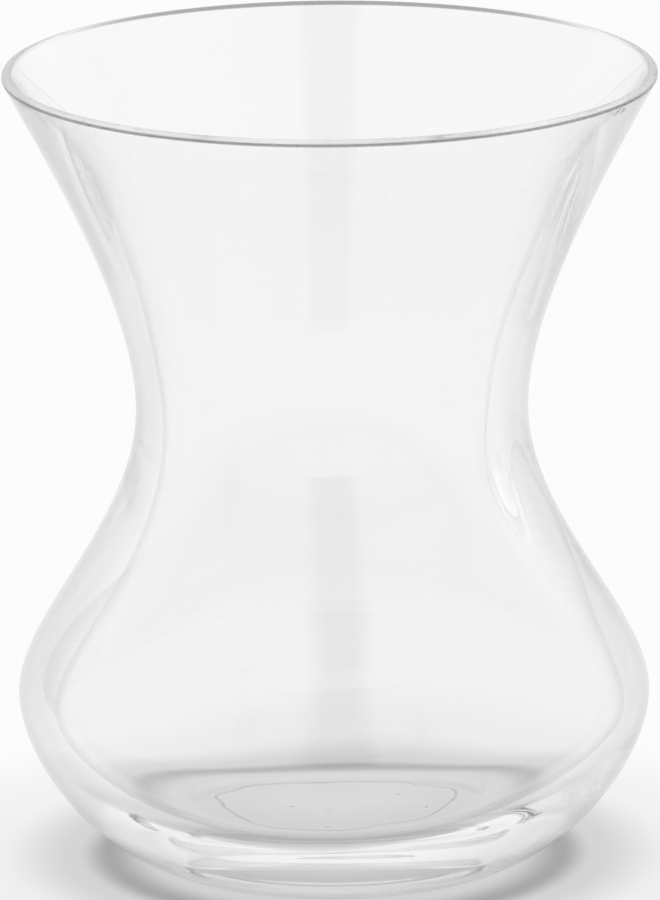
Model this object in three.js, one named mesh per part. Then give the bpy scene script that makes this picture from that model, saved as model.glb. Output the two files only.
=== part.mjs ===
// A tulip-shaped tea glass: one piece of clear glass with a thick base, a round belly,
// a narrow waist to hold it by and a flared rim with a fine rounded lip.
// Millimetres, +Z up. The origin is the centre of the base, on the surface that the glass stands on.

import * as THREE from "three";

// Driving dimensions. A radius is measured from the axis and z from the standing surface.
// down and up are how far the wall keeps its upright run below and above that level.
const height = 88.3;
const foot = { radius: 17.85, liftDegrees: 7.7, run: 8.8 };
const belly = { radius: 34.6, z: 18.7, down: 6.7, up: 7.7 };
const waist = { radius: 21.4, z: 50.7, down: 13.0, up: 10.4 };
const rim = { radius: 35.5, leanDegrees: 28.7, down: 13.4, lip: 1.1 };

// The hollow inside: how thick the glass is at the base, the belly and the waist.
// The floor of the hollow is flat out to its radius, and turns up into the wall from there.
// The wall keeps about the same thickness from belly to waist, then thins towards the lip.
const floor = { thickness: 5.05, radius: 14.2, run: 9.8 };
const wall = { belly: 3.72, waist: 3.3 };
const hollowBelly = { z: 18.0, down: 4.4, up: 5.8 };
const hollowWaist = { z: 50.5, down: 13.2, up: 14.7 };
const hollowRim = { down: 5.3 };

// How finely each stretch of the profile and each turn of the glass is divided.
const steps = { lower: 10, shoulder: 8, flare: 7, lip: 4 };
const turns = 60;
const sameSpot = 1e-6;

const point = (radius, z) => new THREE.Vector2(radius, z);

// A curve that leaves one point and reaches another along the given directions.
function sweep(start, leaving, arriving, end) {
  return new THREE.CubicBezierCurve(start, start.clone().add(leaving), end.clone().sub(arriving), end);
}

// The rim's centre line and the two ends of its round lip.
const lean = THREE.MathUtils.degToRad(rim.leanDegrees);
const alongWall = point(Math.sin(lean), Math.cos(lean));
const acrossWall = point(Math.cos(lean), -Math.sin(lean));
const lipRadius = rim.lip / 2;
const lipCentre = point(rim.radius - lipRadius, height - lipRadius);
const lipOutside = lipCentre.clone().addScaledVector(acrossWall, lipRadius);
const lipInside = lipCentre.clone().addScaledVector(acrossWall, -lipRadius);
const rimRun = (length) => alongWall.clone().multiplyScalar(length);

const up = (length) => point(0, length);

// The outside, from the edge of the flat foot to the lip.
function outsideCurves() {
  const lift = THREE.MathUtils.degToRad(foot.liftDegrees);
  const footEdge = point(foot.radius, 0);
  const footRun = point(Math.cos(lift), Math.sin(lift)).multiplyScalar(foot.run);
  const bellyLine = point(belly.radius, belly.z);
  const waistLine = point(waist.radius, waist.z);
  return [
    [sweep(footEdge, footRun, up(belly.down), bellyLine), steps.lower],
    [sweep(bellyLine, up(belly.up), up(waist.down), waistLine), steps.shoulder],
    [sweep(waistLine, up(waist.up), rimRun(rim.down), lipOutside), steps.flare],
  ];
}

// The inside, from the lip down to the edge of the flat floor.
function insideCurves() {
  const waistLine = point(waist.radius - wall.waist, hollowWaist.z);
  const bellyLine = point(belly.radius - wall.belly, hollowBelly.z);
  const floorEdge = point(floor.radius, floor.thickness);
  return [
    [sweep(lipInside, rimRun(-hollowRim.down), up(-hollowWaist.up), waistLine), steps.flare],
    [sweep(waistLine, up(-hollowWaist.down), up(-hollowBelly.up), bellyLine), steps.shoulder],
    [sweep(bellyLine, up(-hollowBelly.down), point(-floor.run, 0), floorEdge), steps.lower],
  ];
}

// The round lip, from the outside wall over the top to the inside wall.
function lipCurve() {
  const arc = new THREE.EllipseCurve(
    lipCentre.x, lipCentre.y, lipRadius, lipRadius, -lean, Math.PI - lean, false);
  return [[arc, steps.lip]];
}

// The whole outline, from the middle of the underside around to the middle of the hollow's floor.
function profile() {
  const stretches = [...outsideCurves(), ...lipCurve(), ...insideCurves()];
  const points = [point(0, 0)];
  for (const [curve, divisions] of stretches) {
    const sampled = curve.getPoints(divisions);
    const joins = sampled[0].distanceTo(points.at(-1)) < sameSpot;
    points.push(...sampled.slice(joins ? 1 : 0));
  }
  points.push(point(0, floor.thickness));
  return points;
}

function clearGlass() {
  return new THREE.MeshStandardMaterial({
    name: "clear_glass",
    color: 0xf4f6f5,
    roughness: 0.02,
    metalness: 0,
    transparent: true,
    opacity: 0.35,
  });
}

// The profile is turned about the upright axis.
function glassBody() {
  const geometry = new THREE.LatheGeometry(profile(), turns);
  geometry.rotateX(Math.PI / 2);
  const mesh = new THREE.Mesh(geometry, clearGlass());
  mesh.name = "glass_body";
  return mesh;
}

const teaGlass = new THREE.Group();
teaGlass.name = "tea_glass";
teaGlass.add(glassBody());

export default teaGlass;
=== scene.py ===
"""A clear tulip-shaped tea glass on a pale floor, in soft studio light."""

import math

import bpy
import numpy as np
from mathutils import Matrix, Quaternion, Vector


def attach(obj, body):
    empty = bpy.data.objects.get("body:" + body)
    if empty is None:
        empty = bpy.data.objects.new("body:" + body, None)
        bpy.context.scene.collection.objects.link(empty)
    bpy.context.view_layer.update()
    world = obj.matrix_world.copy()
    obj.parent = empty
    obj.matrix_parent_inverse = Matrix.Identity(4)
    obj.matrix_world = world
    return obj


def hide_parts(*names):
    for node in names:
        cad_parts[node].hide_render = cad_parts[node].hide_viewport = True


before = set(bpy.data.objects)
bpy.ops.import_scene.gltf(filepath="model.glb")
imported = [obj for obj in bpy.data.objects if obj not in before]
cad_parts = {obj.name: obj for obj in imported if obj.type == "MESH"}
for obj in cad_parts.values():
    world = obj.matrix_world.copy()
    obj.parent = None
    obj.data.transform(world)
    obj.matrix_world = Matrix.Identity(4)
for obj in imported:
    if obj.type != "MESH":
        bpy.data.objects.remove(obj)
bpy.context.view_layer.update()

# Sizes of the glass in millimetres. A radius is measured from the axis, z from the standing surface.
# down and up are how far the wall keeps its upright run below and above that level.
MM = 0.001
HEIGHT = 88.3
FOOT = dict(radius=17.85, lift=math.radians(7.7), run=8.8)
BELLY = dict(radius=34.6, z=18.7, down=6.7, up=7.7)
WAIST = dict(radius=21.4, z=50.7, down=13.0, up=10.4)
RIM = dict(radius=35.5, lean=math.radians(28.7), down=13.4, lip=1.1)

# The hollow inside: how thick the glass is at the belly and the waist, and the hollow's own levels.
WALL = dict(belly=3.72, waist=3.3)
HOLLOW_BELLY = dict(z=18.0, down=4.4, up=5.8)
HOLLOW_WAIST = dict(z=50.5, down=13.2, up=14.7)
HOLLOW_RIM = dict(down=5.3)

# The floor of the hollow is flat out to its radius, and turns up into the wall from there.
FLOOR = dict(thickness=5.05, radius=14.2, run=9.8)

# The hollow is pressed a little off the axis: how far aside it sits around some levels.
HOLLOW_DRIFT = [
    dict(z=54.0, reach=11.0, aside=-0.4),
    dict(z=30.0, reach=12.0, aside=0.9),
    dict(z=15.0, reach=7.0, aside=0.2),
]

# Shallow swells in the hollow's wall: where each is, how far it reaches and how far it goes out.
# turn and around are in degrees, and turns are counted from +X towards the back.
SWELLS = [
    dict(turn=-20.0, z=40.5, around=11.0, along=8.5, out=-0.8),
    dict(turn=0.0, z=37.0, around=32.0, along=5.5, out=0.8),
]

# The underside is domed a little in the middle.
RECESS = dict(radius=9.6, depth=0.05)

# Rings along each stretch of the profile, and points around each ring.
RINGS = dict(recess=24, ring=10, lower=80, shoulder=60, flare=60, lip=20, floor=12)
TURNS = 256


def point(radius, z):
    return np.array([radius, z], float)


def up(length):
    return point(0, length)


def out(length):
    return point(length, 0)


def sweep(start, leaving, arriving, end, count):
    """Points of a curve that leaves start and reaches end along the given directions, without start."""
    t = np.linspace(0, 1, count + 1)[1:, None]
    near = start + leaving
    far = end - arriving
    return (1 - t) ** 3 * start + 3 * (1 - t) ** 2 * t * near + 3 * (1 - t) * t**2 * far + t**3 * end


def lip_frame():
    """Centre of the round lip, the direction along the wall there and the direction across it."""
    lean = RIM["lean"]
    half = RIM["lip"] / 2
    centre = point(RIM["radius"] - half, HEIGHT - half)
    along = point(math.sin(lean), math.cos(lean))
    across = point(math.cos(lean), -math.sin(lean))
    return centre, along, across


def underside_profile():
    """The shallow dome, from near its middle to its edge, then the flat ring out to the foot's edge."""
    share = np.linspace(0, 1, RINGS["recess"] + 1)[1:]
    rise = (1 + np.cos(math.pi * share)) / 2
    dome = np.stack([share * RECESS["radius"], rise * RECESS["depth"]], axis=1)
    radius = np.linspace(RECESS["radius"], FOOT["radius"], RINGS["ring"] + 1)[1:]
    ring = np.stack([radius, np.zeros_like(radius)], axis=1)
    return np.vstack([dome, ring])


def outside_profile():
    """From the edge of the foot to the outer side of the lip."""
    centre, along, across = lip_frame()
    foot = point(FOOT["radius"], 0)
    leaving = point(math.cos(FOOT["lift"]), math.sin(FOOT["lift"])) * FOOT["run"]
    belly = point(BELLY["radius"], BELLY["z"])
    waist = point(WAIST["radius"], WAIST["z"])
    lip = centre + across * RIM["lip"] / 2
    return np.vstack([
        sweep(foot, leaving, up(BELLY["down"]), belly, RINGS["lower"]),
        sweep(belly, up(BELLY["up"]), up(WAIST["down"]), waist, RINGS["shoulder"]),
        sweep(waist, up(WAIST["up"]), along * RIM["down"], lip, RINGS["flare"]),
    ])


def lip_profile():
    """The round lip, from its outer side over the top to its inner side, without the first point."""
    centre, along, across = lip_frame()
    turn = np.linspace(0, math.pi, RINGS["lip"] + 1)[1:, None]
    return centre + (across * np.cos(turn) + along * np.sin(turn)) * RIM["lip"] / 2


def inside_profile():
    """From the inner side of the lip down to the last ring before the middle of the floor."""
    centre, along, across = lip_frame()
    lip = centre - across * RIM["lip"] / 2
    waist = point(WAIST["radius"] - WALL["waist"], HOLLOW_WAIST["z"])
    belly = point(BELLY["radius"] - WALL["belly"], HOLLOW_BELLY["z"])
    corner = point(FLOOR["radius"], FLOOR["thickness"])
    radius = np.linspace(FLOOR["radius"], 0, RINGS["floor"] + 1)[1:-1]
    floor = np.stack([radius, np.full_like(radius, FLOOR["thickness"])], axis=1)
    return np.vstack([
        sweep(lip, -along * HOLLOW_RIM["down"], up(-HOLLOW_WAIST["up"]), waist, RINGS["flare"]),
        sweep(waist, up(-HOLLOW_WAIST["down"]), up(-HOLLOW_BELLY["up"]), belly, RINGS["shoulder"]),
        sweep(belly, up(-HOLLOW_BELLY["down"]), out(-FLOOR["run"]), corner, RINGS["lower"]),
        floor,
    ])


def turned(profile, around):
    """Rings of points: the profile turned about the axis."""
    rings = np.empty((len(profile), TURNS, 3))
    rings[:, :, :2] = profile[:, None, :1] * around[None]
    rings[:, :, 2] = profile[:, 1:]
    return rings


def drift(z):
    """How far the hollow sits aside of the axis at each height."""
    total = np.zeros_like(z)
    for level in HOLLOW_DRIFT:
        upward = (z - level["z"]) / level["reach"]
        total += level["aside"] * np.exp(-(upward**2))
    return total


def swell(angle, z):
    """How far the hollow's wall swells out at each place."""
    total = np.zeros_like(z)
    for place in SWELLS:
        turn = (np.degrees(angle) - place["turn"] + 180) % 360 - 180
        sideways = turn / place["around"]
        upward = (z - place["z"]) / place["along"]
        total += place["out"] * np.exp(-(sideways**2) - upward**2)
    return total


def hollow_rings(angle, around):
    """The inside turned about the axis, then swollen and moved aside."""
    rings = turned(inside_profile(), around)
    z = rings[:, :, 2]
    rings[:, :, :2] += swell(angle, z)[:, :, None] * around
    rings[:, :, 0] += drift(z)
    return rings


def closed_mesh(name, rings, first, last):
    """A closed mesh from rings of points, with one point on the axis at each end."""
    count = len(rings)
    points = np.vstack([rings.reshape(-1, 3), [[0, 0, first]], [[0, 0, last]]])
    start = count * TURNS
    end = start + 1
    top = start - TURNS
    faces = []
    for k in range(TURNS):
        after = (k + 1) % TURNS
        faces.append((start, after, k))
        for low in range(0, top, TURNS):
            high = low + TURNS
            faces.append((low + k, low + after, high + after, high + k))
        faces.append((top + k, top + after, end))
    mesh = bpy.data.meshes.new(name)
    mesh.from_pydata((points * MM).tolist(), [], faces)
    mesh.polygons.foreach_set("use_smooth", [True] * len(mesh.polygons))
    mesh.update()
    return mesh


# How strongly the glass bends light.
REFRACTION = 1.51

# The painted shade at the edges of the glass: pairs of how far the surface turns away from the ray, and
# the tint painted there.
# The further the surface turns away, the darker the painted edge.
# The hollow's edge is a finer line: there the turn is raised to a power first.
# The named attribute of the mesh says which points are on the outside.
PAINTED_EDGE_DARKNESS = [(0.0, 0.968), (0.42, 0.962), (0.66, 0.71), (0.85, 0.43), (1.0, 0.12)]
HOLLOW_EDGE = 2.6
OUTSIDE = "outside"

# A painted shade line on the outermost edge of the lip: it starts and is full at these radii.
PAINTED_LIP_DARK_LINE = dict(start=35.44, full=35.495, tint=0.15)

# The mark on the underside where the hot glass was cut off: an uneven oval line, with specks in it.
MARK_OVAL = dict(centre=(0.2, -1.4, 0.0), half=(13.6, 12.4, 50.0))
MARK = dict(wobble=8.0, grain=85, line=0.018, tint=0.52)
SPECKS = dict(grain=420, size=0.11, share=0.66, tint=0.30)

# Fine scratches where the glass stands on its foot.
SCUFFS = dict(grain=900, start=0.5, end=0.8, roughness=0.12)


class Nodes:
    """Adds nodes to a node tree, each with its settings and its inputs in order."""

    def __init__(self, tree):
        self.tree = tree

    def add(self, kind, *inputs, output=0, **settings):
        node = self.tree.nodes.new(kind)
        for key, value in settings.items():
            setattr(node, key, value)
        for socket, value in enumerate(inputs):
            self.feed(node.inputs[socket], value)
        return node.outputs[output]

    def feed(self, socket, value):
        """Links another node's output, or sets a plain value; None leaves the socket alone."""
        if isinstance(value, bpy.types.NodeSocket):
            self.tree.links.new(value, socket)
        elif value is not None:
            socket.default_value = value

    def math(self, operation, *values):
        return self.add("ShaderNodeMath", *values, operation=operation)

    def vector(self, operation, *values, output="Vector"):
        return self.add("ShaderNodeVectorMath", *values, operation=operation, output=output)

    def length(self, vector):
        return self.vector("LENGTH", vector, output="Value")

    def scale(self, vector, factor):
        return self.vector("SCALE", vector, None, None, factor)

    def oval(self, place, centre, half):
        """The distance from the centre, as a share of the oval's half sizes."""
        inside = self.add("ShaderNodeMapping", place, centre, None, half, vector_type="TEXTURE")
        return self.length(inside)

    def ramp(self, value, stops):
        """Grey tones along a value: pairs of a place from 0 to 1 and the tone there."""
        node = self.tree.nodes.new("ShaderNodeValToRGB")
        node.color_ramp.interpolation = "EASE"
        elements = node.color_ramp.elements
        while len(elements) < len(stops):
            elements.new(0.5)
        for element, (place, tone) in zip(elements, stops):
            element.position = place
            element.color = (tone, tone, tone, 1)
        self.feed(node.inputs["Fac"], value)
        return node.outputs["Color"]

    def smooth(self, value, start, end, low=0.0, high=1.0):
        """Goes from low to high, softly, as the value goes from start to end."""
        node = self.tree.nodes.new("ShaderNodeMapRange")
        node.interpolation_type = "SMOOTHSTEP"
        self.feed(node.inputs["Value"], value)
        self.feed(node.inputs["From Min"], start)
        self.feed(node.inputs["From Max"], end)
        self.feed(node.inputs["To Min"], low)
        self.feed(node.inputs["To Max"], high)
        return node.outputs["Result"]


def millimetres(values):
    return tuple(value * MM for value in values)


def mark_line(nodes, place):
    """1 on the uneven oval line, 0 elsewhere."""
    noise = nodes.add("ShaderNodeTexNoise", place, None, MARK["grain"], output="Color")
    shift = nodes.vector("SUBTRACT", noise, (0.5, 0.5, 0.5))
    reach = MARK["wobble"] * MM
    bent = nodes.vector("MULTIPLY_ADD", shift, (reach, reach, reach), place)
    distance = nodes.oval(bent, millimetres(MARK_OVAL["centre"]), millimetres(MARK_OVAL["half"]))
    return nodes.math("COMPARE", distance, 1.0, MARK["line"])


def speck_spots(nodes, place):
    """1 on scattered specks, 0 elsewhere."""
    cells = nodes.tree.nodes.new("ShaderNodeTexVoronoi")
    nodes.feed(cells.inputs["Vector"], place)
    nodes.feed(cells.inputs["Scale"], SPECKS["grain"])
    spot = nodes.math("LESS_THAN", cells.outputs["Distance"], SPECKS["size"])
    chosen = nodes.math("GREATER_THAN", cells.outputs["Color"], SPECKS["share"])
    return nodes.math("MULTIPLY", spot, chosen)


def painted_lip_shade_line(nodes, place):
    """1 on the painted shade line at the outermost edge of the lip, 0 elsewhere."""
    radius = nodes.length(nodes.vector("MULTIPLY", place, (1, 1, 0)))
    return nodes.smooth(radius, PAINTED_LIP_DARK_LINE["start"] * MM, PAINTED_LIP_DARK_LINE["full"] * MM)


def scuffs(nodes, place):
    """The roughness of the scratched underside."""
    scratches = nodes.add("ShaderNodeTexNoise", place, None, SCUFFS["grain"])
    return nodes.smooth(scratches, SCUFFS["start"], SCUFFS["end"], 0.0, SCUFFS["roughness"])


def painted_edge_shade(nodes):
    """The painted edge shade by how far the surface turns away, finer on the hollow than on the outside.
    """
    facing = nodes.add("ShaderNodeLayerWeight", output="Facing")
    outside = nodes.add("ShaderNodeAttribute", output="Fac", attribute_name=OUTSIDE)
    power = nodes.math("MULTIPLY_ADD", outside, 1 - HOLLOW_EDGE, HOLLOW_EDGE)
    return nodes.ramp(nodes.math("POWER", facing, power), PAINTED_EDGE_DARKNESS)


def clear_glass(name, darker, roughness=None):
    """Clear glass with painted shade at its edges, and darker places: pairs of a function that places them
    and a tint.
    """
    material = bpy.data.materials.new(name)
    material.use_nodes = True
    nodes = Nodes(material.node_tree)
    shader = nodes.tree.nodes["Principled BSDF"]
    shader.inputs["Roughness"].default_value = 0.0
    shader.inputs["IOR"].default_value = REFRACTION
    shader.inputs["Transmission Weight"].default_value = 1.0
    place = nodes.add("ShaderNodeTexCoord", output="Object")
    # Painted shade: the edges of the glass are painted darker.
    tint = painted_edge_shade(nodes)
    for spots, tone in darker:
        share = nodes.math("MULTIPLY_ADD", spots(nodes, place), tone - 1, 1.0)
        tint = nodes.scale(tint, share)
    nodes.feed(shader.inputs["Base Color"], tint)
    if roughness:
        nodes.feed(shader.inputs["Roughness"], roughness(nodes, place))
    return material


def wall_glass():
    # The lip's outermost line is painted shade.
    return clear_glass("clear_glass", [(painted_lip_shade_line, PAINTED_LIP_DARK_LINE["tint"])])


def underside_glass():
    darker = [(mark_line, MARK["tint"]), (speck_spots, SPECKS["tint"])]
    return clear_glass("clear_glass_underside", darker, scuffs)


def mark_outside(mesh, count):
    """Marks the first points of the mesh, which are those of the outside's rings."""
    outside = np.zeros(len(mesh.vertices), np.float32)
    outside[:count] = 1.0
    mesh.attributes.new(OUTSIDE, "FLOAT", "POINT").data.foreach_set("value", outside)


def dress(mesh):
    """Gives the mesh its glass, with the marked and scratched one on the underside."""
    mesh.materials.append(wall_glass())
    mesh.materials.append(underside_glass())
    centres = np.empty(len(mesh.polygons) * 3)
    mesh.polygons.foreach_get("center", centres)
    x, y, z = centres.reshape(-1, 3).T / MM
    beneath = (z < FLOOR["thickness"] / 2) & (np.hypot(x, y) < FOOT["radius"])
    mesh.polygons.foreach_set("material_index", beneath.astype(np.int32))


def glass_piece():
    """The whole glass, as one closed piece."""
    angle = np.linspace(0, 2 * math.pi, TURNS, endpoint=False)
    around = np.stack([np.cos(angle), np.sin(angle)], axis=1)
    outer = turned(np.vstack([underside_profile(), outside_profile(), lip_profile()]), around)
    inner = hollow_rings(angle, around)
    mesh = closed_mesh("tea_glass", np.vstack([outer, inner]), RECESS["depth"], FLOOR["thickness"])
    mark_outside(mesh, len(outer) * TURNS)
    dress(mesh)
    piece = bpy.data.objects.new("tea_glass", mesh)
    bpy.context.scene.collection.objects.link(piece)
    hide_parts("glass_body")
    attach(piece, "root")


# The floor is a large square in metres, a hair below the glass.
STAGE = dict(half=6.0, gap=0.00005)

# The floor glows softly, most in a pool of light under and behind the glass, in metres.
POOL = dict(centre=(0.0, 0.28, 0.0), half=(0.13, 0.28, 1.0), inner=0.85, outer=1.12)
GLOW = dict(pool=0.97, around=0.93)

# A shadow painted into the floor's glow around the foot of the glass: pairs of a radius in millimetres
# and the share of the glow that is left.
PAINTED_FOOT_SHADOW = [(0, 0.72), (14, 0.66), (20, 0.69), (25, 0.42), (28.5, 0.70), (38, 0.93), (55, 1.0)]


def pool_glow(nodes, place):
    """How brightly the floor glows, in the pool and around it."""
    distance = nodes.oval(place, POOL["centre"], POOL["half"])
    return nodes.smooth(distance, POOL["inner"], POOL["outer"], GLOW["pool"], GLOW["around"])


def painted_foot_shadow(nodes, place):
    """The share of the glow that is left around the foot, under the painted shadow."""
    reach = PAINTED_FOOT_SHADOW[-1][0]
    distance = nodes.math("DIVIDE", nodes.length(place), reach * MM)
    return nodes.ramp(distance, [(radius / reach, left) for radius, left in PAINTED_FOOT_SHADOW])


def pale_floor():
    material = bpy.data.materials.new("pale_floor")
    material.use_nodes = True
    nodes = Nodes(material.node_tree)
    shader = nodes.tree.nodes["Principled BSDF"]
    shader.inputs["Base Color"].default_value = (0, 0, 0, 1)
    shader.inputs["Specular IOR Level"].default_value = 0.0
    shader.inputs["Emission Strength"].default_value = 1.0
    place = nodes.add("ShaderNodeTexCoord", output="Object")
    # The glow, darkened by the painted shadow around the foot.
    light = nodes.scale(painted_foot_shadow(nodes, place), pool_glow(nodes, place))
    nodes.feed(shader.inputs["Emission Color"], light)
    return material


def floor_stage():
    half = STAGE["half"]
    corners = [(-half, -half, 0), (half, -half, 0), (half, half, 0), (-half, half, 0)]
    mesh = bpy.data.meshes.new("floor")
    mesh.from_pydata(corners, [], [(0, 1, 2, 3)])
    mesh.materials.append(pale_floor())
    floor = bpy.data.objects.new("floor", mesh)
    floor.location.z = -STAGE["gap"]
    bpy.context.scene.collection.objects.link(floor)


# The studio around the glass: a soft even light, and panels that are lighter or darker than it.
# An azimuth is counted from the camera's side, to the right; angles are in degrees.
EVEN_LIGHT = 0.82
PANELS = {
    "right side": dict(azimuth=95, half=55, low=-5, high=45, soft=16, light=0.06),
    "back light": dict(azimuth=180, half=60, low=6, high=62, soft=14, light=0.14),
    "camera gap": dict(azimuth=0, half=12, low=-30, high=66, soft=10, light=-0.66),
}


def sine(degrees):
    return math.sin(math.radians(degrees))


def cosine(degrees):
    return math.cos(math.radians(degrees))


def panel_share(nodes, panel, level, height):
    """1 inside the panel and 0 outside it, with soft edges."""
    soft = panel["soft"] / 2
    low = nodes.smooth(height, sine(panel["low"] - soft), sine(panel["low"] + soft))
    high = nodes.smooth(height, sine(panel["high"] + soft), sine(panel["high"] - soft))
    middle = (sine(panel["azimuth"]), -cosine(panel["azimuth"]), 0)
    facing = nodes.vector("DOT_PRODUCT", level, middle, output="Value")
    side = nodes.smooth(facing, cosine(panel["half"] + soft), cosine(panel["half"] - soft))
    return nodes.math("MULTIPLY", nodes.math("MULTIPLY", low, high), side)


def studio_light():
    world = bpy.data.worlds.new("studio")
    bpy.context.scene.world = world
    world.use_nodes = True
    nodes = Nodes(world.node_tree)
    way = nodes.add("ShaderNodeTexCoord", output="Generated")
    height = nodes.add("ShaderNodeSeparateXYZ", way, output="Z")
    level = nodes.vector("NORMALIZE", nodes.vector("MULTIPLY", way, (1, 1, 0)))
    light = EVEN_LIGHT
    for panel in PANELS.values():
        share = panel_share(nodes, panel, level, height)
        light = nodes.math("MULTIPLY_ADD", share, panel["light"], light)
    background = nodes.tree.nodes["Background"]
    background.inputs["Strength"].default_value = 1.0
    nodes.feed(background.inputs["Color"], light)


# The photograph's camera, in metres: a long lens, above the rim, with its picture very slightly turned.
CAMERA = dict(away=1.056, height=0.3205, aim=(-0.00026, 0.0, 0.04563), roll=math.radians(-0.43))
LENS = dict(length=399.8, sensor=36.0, nearest=0.05, farthest=50.0)


def camera():
    data = bpy.data.cameras.new("camera")
    data.lens = LENS["length"]
    data.sensor_width = LENS["sensor"]
    data.clip_start = LENS["nearest"]
    data.clip_end = LENS["farthest"]
    cam = bpy.data.objects.new("camera", data)
    bpy.context.scene.collection.objects.link(cam)
    cam.location = (0, -CAMERA["away"], CAMERA["height"])
    sight = Vector(CAMERA["aim"]) - cam.location
    roll = Quaternion((0, 0, 1), CAMERA["roll"])
    cam.rotation_mode = "QUATERNION"
    cam.rotation_quaternion = sight.to_track_quat("-Z", "Y") @ roll
    bpy.context.scene.camera = cam


# Light is turned back many times inside the wall before it leaves the glass.
BOUNCES = dict(glass=400, diffuse=8)


def light_paths():
    scene = bpy.context.scene
    scene.view_settings.view_transform = "Standard"
    scene.cycles.max_bounces = BOUNCES["glass"]
    scene.cycles.glossy_bounces = BOUNCES["glass"]
    scene.cycles.transmission_bounces = BOUNCES["glass"]
    scene.cycles.diffuse_bounces = BOUNCES["diffuse"]
    scene.cycles.blur_glossy = 0.0


glass_piece()
floor_stage()
studio_light()
camera()
light_paths()
